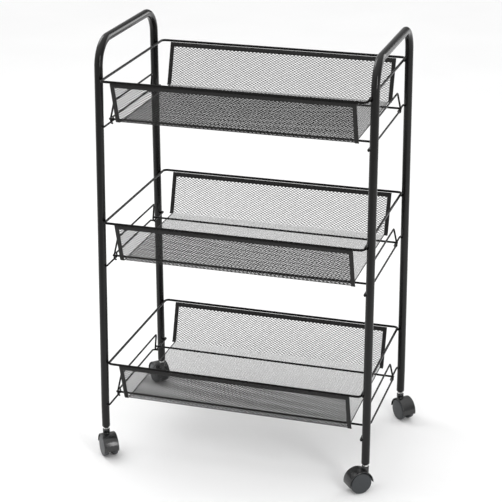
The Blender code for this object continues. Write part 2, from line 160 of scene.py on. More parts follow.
# ---- light: brightness of each side of the room, and the span of directions it changes over ----
SKY_TOP = 0.69
SKY_LEFT = 0.42
SKY_FRONT = 0.50
SKY_BACK = 0.20
SKY_WINDOW = 3.60
SKY_TOP_SPAN = (0.30, 0.95)
SKY_LEFT_SPAN = (-0.75, 0.35)
SKY_FRONT_SPAN = (0.30, 0.95)
WINDOW_X_SPAN = (0.29, 0.37)
WINDOW_Y_SPAN = (0.55, 0.80)
WINDOW_Z_SPAN = (0.30, 0.55)
LIGHT_AIM = (0.0, 0.0, 0.25)

# ---- floor: pale under and behind the cart, with painted shade making it grey well in front, which the tubes mirror ----
# painted shade: the floor's colour goes grey towards the front, standing in for the light falling
# off there
FLOOR_PAINTED_SHADE_END_Y = -0.46
FLOOR_PAINTED_SHADE_Y = -1.10
FLOOR_PAINTED_SHADE_GREY = 0.60
FLOOR_PALE = (0.90, 0.92)
FLOOR_HALF = 14.0

# ---- camera, fitted to the tubes and basket corners ----
CAMERA_AT = (0.7217, -2.4208, 1.3298)
CAMERA_TURN_DEG = 16.83
CAMERA_TIP_DEG = 21.18
CAMERA_LENS = 112.72
CAMERA_SENSOR_W = 36.0

# ---- finishes: noise scales per metre, bump depths in metres ----
TONE_SCALE = 38.0
GLOSS_SCALE = 150.0
PEEL_DEPTH = 0.00012
FINE_PEEL_SCALE = 3.1  # times the coarse peel's scale
FINE_PEEL_DEPTH = 0.00005
PLATING_SCALE = 420.0
RING_SCALE = 60.0
FLOOR_CLOUD_SCALE = 3.0
FLOOR_GRAIN_SCALE = 60.0

# ---- facets ----
TUBE_SIDES = 40
WIRE_SIDES = 18
TURN_SIDES = 64
HANDLE_BEND_STEPS = 20
WHEEL_SIDES = 72
SOCKET_SIDES = 56
NECK_SIDES = 48
STEM_SIDES = 40
GUARD_SPACE_SIDES = 96


def leg_y(z):
    return LEG_FOOT_Y - LEG_LEAN * max(0.0, z - LEG_STRAIGHT_Z)


def frame_x(z):
    return FRAME_FOOT_X - FRAME_LEAN * max(0.0, z - LEG_STRAIGHT_Z)


# ================================================================ shapes
def linked(name, data):
    made = bpy.data.objects.new(name, data)
    bpy.context.scene.collection.objects.link(made)
    return made


def mesh_object(name, points, faces):
    mesh = bpy.data.meshes.new(name)
    mesh.from_pydata([tuple(p) for p in points], [], faces)
    mesh.validate()
    return linked(name, mesh)


def face_outward(obj, weld=0.0):
    """Turn all faces outward, after joining points closer than weld."""
    work = bmesh.new()
    work.from_mesh(obj.data)
    if weld > 0.0:
        bmesh.ops.remove_doubles(work, verts=work.verts, dist=weld)
    bmesh.ops.recalc_face_normals(work, faces=work.faces)
    work.to_mesh(obj.data)
    work.free()


def shade(obj, degrees=35.0):
    obj.data.shade_smooth()
    obj.data.set_sharp_from_angle(angle=math.radians(degrees))


def bake_modifiers(obj):
    """Replace the object's mesh with what its modifiers make of it."""
    bpy.context.view_layer.update()
    shape = obj.evaluated_get(bpy.context.evaluated_depsgraph_get())
    mesh = bpy.data.meshes.new_from_object(shape)
    obj.modifiers.clear()
    obj.data = mesh
    mesh.name = obj.name
    return obj


def rounded_path(corners, radius, steps, closed=False):
    """Polyline through the corners with every inner corner turned into an arc."""
    corners = [Vector(c) for c in corners]
    count = len(corners)
    path = []
    for i, corner in enumerate(corners):
        if not closed and i in (0, count - 1):
            path.append(corner)
            continue
        back = (corners[i - 1] - corner).normalized()
        ahead = (corners[(i + 1) % count] - corner).normalized()
        half = back.angle(ahead) / 2.0
        run = radius / math.tan(half)
        centre = corner + (back + ahead).normalized() * (radius / math.sin(half))
        start = corner + back * run - centre
        end = corner + ahead * run - centre
        sweep = start.angle(end)
        for k in range(steps + 1):
            t = k / steps
            a = math.sin((1.0 - t) * sweep) / math.sin(sweep)
            b = math.sin(t * sweep) / math.sin(sweep)
            path.append(centre + start * a + end * b)
    return path


def arc(centre, radius, start_deg, end_deg, steps):
    points = []
    for k in range(steps + 1):
        a = math.radians(start_deg + (end_deg - start_deg) * k / steps)
        points.append((centre[0] + radius * math.cos(a), centre[1] + radius * math.sin(a)))
    return points


def sweep(name, path, radius, sides, closed=False, end_round=0.0, capped=True):
    """Round bar along a polyline, without twist, its ends rounded off by end_round."""
    path = [Vector(p) for p in path]
    radii = [radius] * len(path)
    if end_round > 0.0:
        for at_end in (False, True):
            tip = path[-1] if at_end else path[0]
            near = path[-2] if at_end else path[1]
            inward = (near - tip).normalized()
            rows = []
            for a in (math.radians(90.0), math.radians(60.0), math.radians(30.0)):
                rows.append((tip + inward * end_round * (1.0 - math.sin(a)),
                             radius - end_round * (1.0 - math.cos(a))))
            if at_end:
                path[-1] = tip + inward * end_round
                path += [p for p, r in reversed(rows)]
                radii += [r for p, r in reversed(rows)]
            else:
                path[0] = tip + inward * end_round
                path = [p for p, r in rows] + path
                radii = [r for p, r in rows] + radii
    count = len(path)
    tangents = []
    for i in range(count):
        before = path[i - 1] if (closed or i > 0) else path[i]
        after = path[(i + 1) % count] if (closed or i < count - 1) else path[i]
        tangents.append((after - before).normalized())
    side = tangents[0].orthogonal().normalized()
    points = []
    for i in range(count):
        side = (side - tangents[i] * side.dot(tangents[i])).normalized()
        other = tangents[i].cross(side)
        for k in range(sides):
            a = 2.0 * math.pi * k / sides
            points.append(path[i] + (side * math.cos(a) + other * math.sin(a)) * radii[i])
    faces = []
    rings = count if closed else count - 1
    for i in range(rings):
        j = (i + 1) % count
        for k in range(sides):
            m = (k + 1) % sides
            faces.append((i * sides + k, i * sides + m, j * sides + m, j * sides + k))
    if capped and not closed:
        faces.append(tuple(reversed(range(sides))))
        faces.append(tuple((count - 1) * sides + k for k in range(sides)))
    made = mesh_object(name, points, faces)
    shade(made)
    return made


def turned(name, profile, sides=TURN_SIDES, closed_profile=False):
    """Turn (radius, height) points about Z, outer side from top to bottom."""
    mesh = bpy.data.meshes.new(name)
    count = len(profile)
    edges = [(i, i + 1) for i in range(count - 1)]
    if closed_profile:
        edges.append((count - 1, 0))
    mesh.from_pydata([(r, 0.0, z) for r, z in profile], edges, [])
    made = linked(name, mesh)
    screw = made.modifiers.new("turn", "SCREW")
    screw.steps = sides
    screw.render_steps = sides
    screw.use_merge_vertices = True
    screw.merge_threshold = 0.000002
    bake_modifiers(made)
    face_outward(made, weld=0.000001)
    shade(made)
    return made


def place(obj, matrix):
    obj.data.transform(matrix)
    return obj


# ================================================================ materials
def new_shader(name):
    material = bpy.data.materials.new(name)
    material.use_nodes = True
    return material, material.node_tree, material.node_tree.nodes["Principled BSDF"]


def noise(tree, scale, detail, rough=0.5, stretch=None):
    place_node = tree.nodes.new("ShaderNodeTexCoord")
    made = tree.nodes.new("ShaderNodeTexNoise")
    made.inputs["Scale"].default_value = scale
    made.inputs["Detail"].default_value = detail
    made.inputs["Roughness"].default_value = rough
    if stretch is None:
        tree.links.new(place_node.outputs["Object"], made.inputs["Vector"])
    else:
        mapping = tree.nodes.new("ShaderNodeMapping")
        mapping.inputs["Scale"].default_value = stretch
        tree.links.new(place_node.outputs["Object"], mapping.inputs["Vector"])
        tree.links.new(mapping.outputs["Vector"], made.inputs["Vector"])
    return made.outputs["Fac"]


def spread(tree, value, low, high, start=0.3, end=0.7):
    """Map a noise value from start..end to low..high."""
    made = tree.nodes.new("ShaderNodeMapRange")
    made.inputs["From Min"].default_value = start
    made.inputs["From Max"].default_value = end
    made.inputs["To Min"].default_value = low
    made.inputs["To Max"].default_value = high
    tree.links.new(value, made.inputs["Value"])
    return made.outputs["Result"]


def two_colours(tree, value, first, second):
    made = tree.nodes.new("ShaderNodeMix")
    made.data_type = "RGBA"
    made.inputs["A"].default_value = first
    made.inputs["B"].default_value = second
    tree.links.new(value, made.inputs["Factor"])
    return made.outputs["Result"]


def bump(tree, height, strength, distance, under=None):
    made = tree.nodes.new("ShaderNodeBump")
    made.inputs["Strength"].default_value = strength
    made.inputs["Distance"].default_value = distance
    tree.links.new(height, made.inputs["Height"])
    if under is not None:
        tree.links.new(under, made.inputs["Normal"])
    return made.outputs["Normal"]


def grey(value, warm=0.0):
    return (value * (1.0 + warm), value, value * (1.0 - warm), 1.0)


def coated(name, dark, light, rough, peel_scale, peel, level, warm=0.04):
    """Powder coat or moulded plastic: two close tones, uneven gloss and fine orange peel."""
    material, tree, shader = new_shader(name)
    drift = spread(tree, noise(tree, TONE_SCALE, 3.0), 0.0, 1.0)
    tones = two_colours(tree, drift, grey(dark, warm), grey(light, warm))
    tree.links.new(tones, shader.inputs["Base Color"])
    gloss = spread(tree, noise(tree, GLOSS_SCALE, 4.0), rough[0], rough[1])
    tree.links.new(gloss, shader.inputs["Roughness"])
    shader.inputs["Specular IOR Level"].default_value = level
    coarse = bump(tree, noise(tree, peel_scale, 2.0), peel, PEEL_DEPTH)
    grain = noise(tree, peel_scale * FINE_PEEL_SCALE, 3.0)
    fine = bump(tree, grain, peel * 0.5, FINE_PEEL_DEPTH, coarse)
    tree.links.new(fine, shader.inputs["Normal"])
    return material


def bright_steel(name):
    """Zinc-plated pin: turned rings across its length and a faint cloud in the plating."""
    material, tree, shader = new_shader(name)
    shader.inputs["Metallic"].default_value = 1.0
    cloud = spread(tree, noise(tree, PLATING_SCALE, 3.0), 0.0, 1.0)
    plating = two_colours(tree, cloud, (0.62, 0.62, 0.61, 1.0), (0.80, 0.80, 0.79, 1.0))
    tree.links.new(plating, shader.inputs["Base Color"])
    rings = noise(tree, RING_SCALE, 4.0, stretch=(1.0, 1.0, 60.0))
    tree.links.new(spread(tree, rings, 0.16, 0.34), shader.inputs["Roughness"])
    tree.links.new(bump(tree, rings, 0.25, FINE_PEEL_DEPTH), shader.inputs["Normal"])
    return material


def dress(obj, material):
    obj.data.materials.clear()
    obj.data.materials.append(material)


TUBE_COAT = coated("tube_powder_coat", dark=0.0040, light=0.0056, rough=(0.13, 0.20),
                   peel_scale=620.0, peel=0.06, level=0.30)
WIRE_COAT = coated("wire_powder_coat", dark=0.0034, light=0.0050, rough=(0.24, 0.32),
                   peel_scale=760.0, peel=0.08, level=0.12)
BAND_COAT = coated("band_powder_coat", dark=0.0060, light=0.0085, rough=(0.36, 0.46),
                   peel_scale=700.0, peel=0.10, level=0.30)
MESH_COAT = coated("mesh_powder_coat", dark=0.0060, light=0.0090, rough=(0.34, 0.46),
                   peel_scale=900.0, peel=0.12, level=0.30)
WELD_COAT = coated("weld_powder_coat", dark=0.0080, light=0.0130, rough=(0.22, 0.34),
                   peel_scale=900.0, peel=0.30, level=0.50)
HOOD_PLASTIC = coated("hood_plastic", dark=0.0050, light=0.0068, rough=(0.18, 0.26),
                      peel_scale=320.0, peel=0.05, level=0.70, warm=-0.06)
SOCKET_PLASTIC = coated("socket_plastic", dark=0.0050, light=0.0070, rough=(0.30, 0.40),
                        peel_scale=420.0, peel=0.08, level=0.30)
WHEEL_PLASTIC = coated("wheel_plastic", dark=0.034, light=0.040, rough=(0.36, 0.46),
                       peel_scale=500.0, peel=0.06, level=0.40, warm=-0.09)
PIN_STEEL = bright_steel("zinc_plated_steel")


def finish_piece(obj, material, body, slot, *nodes):
    """Dress a piece, let it ride on its body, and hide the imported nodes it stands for."""
    dress(obj, material)
    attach(obj, body)
    if nodes:
        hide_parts(*nodes)
    return obj


# ================================================================ side frames
def side_frame(side, name):
    """Bent tube with its real wall, open at both feet."""
    top_x = side * frame_x(HANDLE_Z)
    foot_x = side * FRAME_FOOT_X
    top_y = leg_y(HANDLE_Z)
    corners = [(foot_x, -LEG_FOOT_Y, LEG_STRAIGHT_Z), (top_x, -top_y, HANDLE_Z),
               (top_x, top_y, HANDLE_Z), (foot_x, LEG_FOOT_Y, LEG_STRAIGHT_Z)]
    path = rounded_path(corners, HANDLE_BEND_R, HANDLE_BEND_STEPS)
    path.insert(0, Vector((foot_x, -LEG_FOOT_Y, TUBE_FOOT_Z)))
    path.append(Vector((foot_x, LEG_FOOT_Y, TUBE_FOOT_Z)))
    tube = sweep(name + "_tube", path, TUBE_R - SKIN, TUBE_SIDES, capped=False)
    wall = tube.modifiers.new("wall", "SOLIDIFY")
    wall.thickness = TUBE_WALL
    wall.offset = -1.0
    wall.use_even_offset = True
    bake_modifiers(tube)
    shade(tube)
    finish_piece(tube, TUBE_COAT, "cart", "powder_coat", name)


def weld_bead(name, at, along, size):
    """Small puddle of weld: a squashed round lump with a rippled skin."""
    mesh = bpy.data.meshes.new(name)
    work = bmesh.new()
    bmesh.ops.create_icosphere(work, subdivisions=3, radius=1.0)
    work.to_mesh(mesh)
    work.free()
    bead = linked(name, mesh)
    turn = Vector((0.0, 1.0, 0.0)).rotation_difference(Vector(along)).to_matrix()
    co = np.array([v.co for v in mesh.vertices])
    ripple = 1.0 + 0.07 * np.sin(7.0 * co[:, 1] + 1.3 * at[1] * 100.0)
    ripple = ripple + 0.04 * np.sin(11.0 * co[:, 0])
    co = co * ripple[:, None] * np.array(size)
    co = co @ np.array(turn).T + np.array(at)
    mesh.vertices.foreach_set("co", co.ravel())
    mesh.update()
    shade(bead, 60.0)
    return bead


# ================================================================ baskets
def section_points(steps):
    """Front wall, floor and rear wall of the folded sheet, as (y, z) from the rim wire."""
    corners = [(0.0, -TRAY_TOP_HALF_Y, -TRAY_TOP_DROP),
               (0.0, -TRAY_FLOOR_HALF_Y, -TRAY_FLOOR_DROP),
               (0.0, TRAY_FLOOR_HALF_Y, -TRAY_FLOOR_DROP),
               (0.0, TRAY_TOP_HALF_Y, -TRAY_TOP_DROP)]
    return [(p.y, p.z) for p in rounded_path(corners, FOLD_R, steps)]


class Section:
    """The sheet's section by length along it, with the side that faces into the basket."""

    def __init__(self, steps=8):
        self.points = np.array(section_points(steps))
        step = np.hypot(*(self.points[1:] - self.points[:-1]).T)
        self.length = np.concatenate([[0.0], np.cumsum(step)])
        self.total = self.length[-1]
        lean = self.points[1] - self.points[0]
        self.wall = float(np.hypot(*lean))

    def point(self, t):
        return np.stack([np.interp(t, self.length, self.points[:, i]) for i in (0, 1)], -1)

    def at(self, t):
        run = self.point(t + TANGENT_STEP) - self.point(t - TANGENT_STEP)
        run /= np.maximum(np.hypot(run[..., 0], run[..., 1]), 1e-12)[..., None]
        inward = np.stack([-run[..., 1], run[..., 0]], -1)
        return self.point(t), inward


def strands(name, section, rim_z, first, last, reach):
    """Expanded metal: zigzag strands, each a flat bar turned a little, meeting at the knuckles."""
    half = DIAMOND_LONG / 2.0
    rows = DIAMOND_SHORT / 2.0
    columns = int(2.0 * reach / half)
    x = (np.arange(columns + 1) - columns / 2.0) * half
    swing = DIAMOND_SHORT / 4.0 - STRAND_W * STRAND_OVERLAP
    slope = math.atan2(2.0 * swing, half)
    tilt = math.radians(STRAND_TILT_DEG)
    wide = STRAND_W / 2.0 / math.cos(slope)
    thick = STRAND_T / 2.0
    corners = []
    for a, b in ((-1, -1), (1, -1), (1, 1), (-1, 1)):
        corners.append((a * wide * math.cos(tilt) - b * thick * math.sin(tilt),
                        a * wide * math.sin(tilt) + b * thick * math.cos(tilt)))
    corners = np.array(corners)
    points = []
    faces = []
    base = 0
    sign = np.where(np.arange(columns + 1) % 2 == 0, 1.0, -1.0)
    for j in range(first, last):
        middle = (j + 0.5) * rows
        centre = middle + sign * (swing if j % 2 else -swing)
        t = centre[:, None] + corners[None, :, 0]
        lift = np.broadcast_to(corners[None, :, 1], t.shape)
        t = np.clip(t, 0.0, section.total)
        place_yz, inward = section.at(t)
        yz = place_yz + inward * lift[..., None]
        across = np.broadcast_to(x[:, None], t.shape)
        block = np.stack([across, yz[..., 0], yz[..., 1] + rim_z], -1)
        points.append(block.reshape(-1, 3))
        i = base + 4 * np.arange(columns)
        for k in range(4):
            m = (k + 1) % 4
            faces.append(np.stack([i + k, i + 4 + k, i + 4 + m, i + m], -1))
        faces.append(np.array([[base + 3, base + 2, base + 1, base]])[:, ::-1])
        end = base + 4 * columns
        faces.append(np.array([[end, end + 1, end + 2, end + 3]])[:, ::-1])
        base += 4 * (columns + 1)
    points = np.concatenate(points)
    faces = np.concatenate(faces)
    mesh = bpy.data.meshes.new(name)
    mesh.vertices.add(len(points))
    mesh.vertices.foreach_set("co", points.astype(np.float32).ravel())
    mesh.loops.add(faces.size)
    mesh.loops.foreach_set("vertex_index", faces.ravel().astype(np.int32))
    mesh.polygons.add(len(faces))
    mesh.polygons.foreach_set("loop_start", (np.arange(len(faces)) * 4).astype(np.int32))
    mesh.update(calc_edges=True)
    mesh.validate()
    return linked(name, mesh)


def edge_band(name, rim_z):
    """Folded steel strip round the sheet's walls: both top edges and the four wall ends."""
    outer = [Vector(p) for p in section_points(6)]
    first = outer[0] + (outer[1] - outer[0]).normalized() * BAND_TOP_W
    last = outer[-1] + (outer[-2] - outer[-1]).normalized() * BAND_TOP_W
    rows = [outer[0], first] + outer[1:-1] + [last, outer[-1]]
    columns = [-TRAY_HALF_X, -TRAY_HALF_X + BAND_W, TRAY_HALF_X - BAND_W, TRAY_HALF_X]
    points = [(x, p.x, p.y + rim_z) for x in columns for p in rows]
    height = len(rows)
    floor_row = height // 2 - 1
    faces = []
    for i in range(3):
        for j in range(height - 1):
            if j != floor_row and (i != 1 or j in (0, height - 2)):
                a = i * height + j
                faces.append((a, a + height, a + height + 1, a + 1))
    return thick_strip(name, points, faces, BAND_T)


def floor_edge(name, rim_z):
    """Narrow folded edge at both ends of the floor, in line with the end bands' inner side."""
    points = []
    for inner in (-TRAY_HALF_X + BAND_W, TRAY_HALF_X - BAND_W):
        outward = math.copysign(FLOOR_EDGE_W, inner)
        for x, y in ((inner, -FLOOR_EDGE_Y), (inner + outward, -FLOOR_EDGE_Y),
                     (inner + outward, FLOOR_EDGE_Y), (inner, FLOOR_EDGE_Y)):
            points.append((x, y, rim_z - TRAY_FLOOR_DROP))
    return thick_strip(name, points, [(3, 2, 1, 0), (4, 5, 6, 7)], FLOOR_EDGE_T)


def thick_strip(name, points, faces, thickness):
    """Sheet faces given a thickness and soft edges."""
    band = mesh_object(name, points, faces)
    solid = band.modifiers.new("thickness", "SOLIDIFY")
    solid.thickness = thickness
    solid.offset = 0.0
    solid.use_even_offset = True
    soft = band.modifiers.new("round", "BEVEL")
    soft.width = thickness * BAND_ROUND
    soft.segments = 3
    soft.limit_method = "ANGLE"
    soft.angle_limit = math.radians(50.0)
    bake_modifiers(band)
    shade(band, 40.0)
    return band


def basket(tier, section):
    """Everything of one tier: rim, bound mesh tray, cross wires, side rods, hangers and welds."""
    rim_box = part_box(tier + "_rim_wire")
    rim_z = (rim_box[0].z + rim_box[1].z) / 2.0
    half_x = frame_x(rim_z) - TUBE_R - GAP - RIM_WIRE_R
    ring = rounded_path([(-half_x, -RIM_HALF_Y, rim_z), (half_x, -RIM_HALF_Y, rim_z),
                         (half_x, RIM_HALF_Y, rim_z), (-half_x, RIM_HALF_Y, rim_z)],
                        RIM_CORNER_R, 10, closed=True)
    rim = sweep(tier + "_rim", ring, RIM_WIRE_R, WIRE_SIDES, closed=True)
    finish_piece(rim, WIRE_COAT, "cart", "powder_coat", tier + "_rim_wire")
    band = edge_band(tier + "_band", rim_z)
    finish_piece(band, BAND_COAT, "cart", "powder_coat", tier + "_edge_band")
    finish_piece(floor_edge(tier + "_floor_edge", rim_z), BAND_COAT, "cart", "powder_coat")
    reach = TRAY_HALF_X - STRAND_END_IN
    rows = DIAMOND_SHORT / 2.0
    front = int(section.wall / rows)
    last = int(section.total / rows)
    parts = (("front", 1, front), ("floor", front, last - front), ("rear", last - front, last - 1))
    for part, start, stop in parts:
        half = reach - BAND_W + FLOOR_EDGE_W if part == "floor" else reach
        sheet = strands(tier + "_mesh_" + part, section, rim_z, start, stop, half)
        nodes = (tier + "_mesh_tray",) if part == "floor" else ()
        finish_piece(sheet, MESH_COAT, "cart", "mesh_coat", *nodes)
    seat_z = rim_z - ROD_SEAT_DROP
    seat_x = frame_x(seat_z) - TUBE_R - GAP - ROD_R
    for end, word in ((-1.0, "front"), (1.0, "rear")):
        z = rim_z - CROSS_WIRE_DROP
        tip = seat_x + CROSS_WIRE_OVER
        path = [(-tip, end * CROSS_WIRE_Y, z), (tip, end * CROSS_WIRE_Y, z)]
        wire = sweep(f"{tier}_cross_{word}", path, CROSS_WIRE_R, WIRE_SIDES,
                     end_round=CROSS_TIP_ROUND)
        finish_piece(wire, WIRE_COAT, "cart", "powder_coat", f"{tier}_cross_wire_{word}")
    for side, word in ((-1.0, "left"), (1.0, "right")):
        side_rod(tier, side, word, rim_z, seat_z, seat_x)
        hanger(tier, side, word, rim_z, seat_x)
        for end in (-1.0, 1.0):
            at = (side * (frame_x(rim_z) - TUBE_R - RIM_WELD_GAP), end * leg_y(rim_z),
                  rim_z - RIM_WIRE_R * 0.75)
            bead = weld_bead(f"{tier}_rim_weld_{word}_{'front' if end < 0 else 'rear'}", at,
                             (0.0, 1.0, 0.0), RIM_WELD_SIZE)
            finish_piece(bead, WELD_COAT, "cart", "powder_coat")


def side_rod(tier, side, word, rim_z, seat_z, seat_x):
    """Welded rod: its ends hug the tubes, its middle is stepped out and up."""
    wrap_r = TUBE_R + GAP + ROD_R
    tube = (frame_x(seat_z), leg_y(seat_z))
    raised = (side * (seat_x + ROD_RAISED_OUT), ROD_STEP_INNER_Y, rim_z - ROD_RAISED_DROP)
    seat = (side * seat_x, ROD_STEP_OUTER_Y, seat_z)
    start = (side * seat_x, tube[1], seat_z)
    corners = [(raised[0], -raised[1], raised[2]), raised, seat, start]
    inner = rounded_path(corners, ROD_BEND_R, 5)[1:-1]
    wrap = [Vector((side * x, y, seat_z))
            for x, y in arc(tube, wrap_r, 180.0, 180.0 - ROD_WRAP_DEG, 8)]
    half = inner + wrap
    path = [Vector((p.x, -p.y, p.z)) for p in reversed(half)] + half
    rod = sweep(f"{tier}_rod_{word}", path, ROD_R, WIRE_SIDES, end_round=ROD_TIP_ROUND)
    finish_piece(rod, WIRE_COAT, "cart", "powder_coat", f"{tier}_side_rod_{word}")
    for end in (-1.0, 1.0):
        at = (side * (tube[0] - TUBE_R * 0.90), end * (tube[1] + TUBE_R * 0.42),
              seat_z - ROD_R * 0.2)
        bead = weld_bead(f"{tier}_rod_weld_{word}_{'front' if end < 0 else 'rear'}", at,
                         (side * 0.45, end * 0.89, 0.0), ROD_WELD_SIZE)
        finish_piece(bead, WELD_COAT, "cart", "powder_coat")


def hanger(tier, side, word, rim_z, seat_x):
    """Wire bridge at one basket end, its two feet hooked under the side rod."""
    hook_r = ROD_R + GAP + HANGER_R
    foot_x = seat_x + hook_r
    top_x = seat_x - HANGER_TOP_IN
    foot_z = rim_z - CROSS_WIRE_DROP
    top_z = rim_z - HANGER_TOP_DROP
    corners = [(foot_x, -HANGER_FOOT_Y, foot_z), (top_x, -HANGER_TOP_Y, top_z),
               (top_x, HANGER_TOP_Y, top_z), (foot_x, HANGER_FOOT_Y, foot_z)]
    top = rounded_path(corners, HANGER_BEND_R, 8)
    hook = []
    around = arc((seat_x, rim_z - ROD_SEAT_DROP), hook_r, 0.0, -HOOK_DEG, HOOK_STEPS)
    for k, (x, z) in enumerate(around):
        y = HANGER_FOOT_Y + (HANGER_TIP_Y - HANGER_FOOT_Y) * k / HOOK_STEPS
        hook.append(Vector((x, y, z)))
    near = [Vector((p.x, -p.y, p.z)) for p in reversed(hook)]
    path = [Vector((side * p.x, p.y, p.z)) for p in near + top + hook]
    wire = sweep(f"{tier}_bridge_{word}", path, HANGER_R, WIRE_SIDES, end_round=HOOK_TIP_ROUND)
    finish_piece(wire, WIRE_COAT, "cart", "powder_coat", f"{tier}_hanger_{word}")


# ================================================================ casters
def extruded(name, outline, width):
    """Side outline (forward, up) given a width across X."""
    count = len(outline)
    points = [(-width / 2.0, u, v) for u, v in outline] + [(width / 2.0, u, v) for u, v in outline]
    faces = [tuple(range(count)), tuple(range(2 * count - 1, count - 1, -1))]
    for i in range(count):
        j = (i + 1) % count
        faces.append((i, i + count, j + count, j))
    made = mesh_object(name, points, faces)
    face_outward(made)
    return made


def guard_shell():
    """Mudguard: a curved shell with round shoulders, cut off level at its front and back ends."""
    inner = HOOD_R - HOOD_WALL
    edge = HOOD_W / 2.0
    shoulder_x = edge - HOOD_SHOULDER_R
    shoulder_z = HOOD_R - HOOD_SHOULDER_R
    profile = [(-edge, inner)]
    profile += arc((-shoulder_x, shoulder_z), HOOD_SHOULDER_R, 180.0, 90.0, 5)
    profile += arc((shoulder_x, shoulder_z), HOOD_SHOULDER_R, 90.0, 0.0, 5)
    profile += [(edge, inner)]
    ring = len(profile)
    points = []
    for k in range(HOOD_STEPS + 1):
        a = math.radians(HOOD_BACK_DEG * k / HOOD_STEPS)
        for x, r in profile:
            points.append((x, -TRAIL + r * math.cos(a), r * math.sin(a)))
    faces = []
    for k in range(HOOD_STEPS):
        for m in range(ring):
            n = (m + 1) % ring
            faces.append((k * ring + m, k * ring + n, (k + 1) * ring + n, (k + 1) * ring + m))
    faces.append(tuple(range(ring)))
    faces.append(tuple(HOOD_STEPS * ring + m for m in reversed(range(ring))))
    made = mesh_object("guard", points, faces)
    face_outward(made)
    return made


def hood_shape():
    """Mudguard, web and neck in one moulding; origin on the stem's axis at axle height."""
    guard = guard_shell()
    axle = (-TRAIL, 0.0)
    mid_r = HOOD_R - HOOD_WALL / 2.0
    outline = arc(axle, mid_r, WEB_FRONT_DEG, WEB_BACK_DEG, 40)
    outline += arc(axle, WEB_BOSS_R, -180.0, 0.0, 16)
    web = extruded("web", outline, WEB_W)
    top = NECK_TOP_Z - WHEEL_R
    foot = NECK_FOOT_Z - WHEEL_R
    neck = turned("neck", [(0.0, top), (NECK_R - NECK_EDGE, top),
                           (NECK_R - NECK_EDGE_INNER, top - NECK_EDGE_INNER),
                           (NECK_R, top - NECK_EDGE), (NECK_R, foot), (0.0, foot)], NECK_SIDES)
    space = turned("space", [(0.0, HOOD_W), (mid_r, HOOD_W), (mid_r, -HOOD_W), (0.0, -HOOD_W)],
                   GUARD_SPACE_SIDES)
    place(space, Matrix.Translation((0.0, -TRAIL, 0.0))
          @ Matrix.Rotation(math.radians(90.0), 4, "Y"))
    helpers = [space, web, neck]
    for body, helper, operation in ((neck, space, "DIFFERENCE"), (guard, web, "UNION"),
                                    (guard, neck, "UNION")):
        cut = body.modifiers.new("cut", "BOOLEAN")
        cut.operation = operation
        cut.solver = "EXACT"
        cut.object = helper
        if body is neck:
            bake_modifiers(neck)
    bake_modifiers(guard)
    for helper in helpers:
        bpy.data.objects.remove(helper, do_unlink=True)
    mesh = guard.data
    bpy.data.objects.remove(guard, do_unlink=True)
    mesh.shade_smooth()
    mesh.set_sharp_from_angle(angle=math.radians(32.0))
    return mesh


def wheel_profile():
    """Outer face to inner face: low dome, soft edge, tread with a slight crown."""
    rim = WHEEL_R - WHEEL_EDGE_R
    face = WHEEL_OUTER_X + WHEEL_CROWN
    dome = ((0.25, 0.00002), (0.50, 0.00009), (0.75, 0.00025), (0.90, 0.00042))
    profile = [(0.0, face)] + [(rim * share, face - drop) for share, drop in dome]
    profile += [(rim * 0.97, WHEEL_OUTER_X + 0.00006)]
    profile += arc((rim, WHEEL_OUTER_X - WHEEL_EDGE_R), WHEEL_EDGE_R, 90.0, 0.0, 8)
    profile += arc((rim, WHEEL_INNER_X + WHEEL_EDGE_R), WHEEL_EDGE_R, 0.0, -90.0, 8)
    hub_x = WHEEL_INNER_X + WHEEL_HUB_DEPTH
    profile += [(WHEEL_HUB_R, WHEEL_INNER_X), (WHEEL_HUB_R, hub_x), (0.0, hub_x)]
    return profile


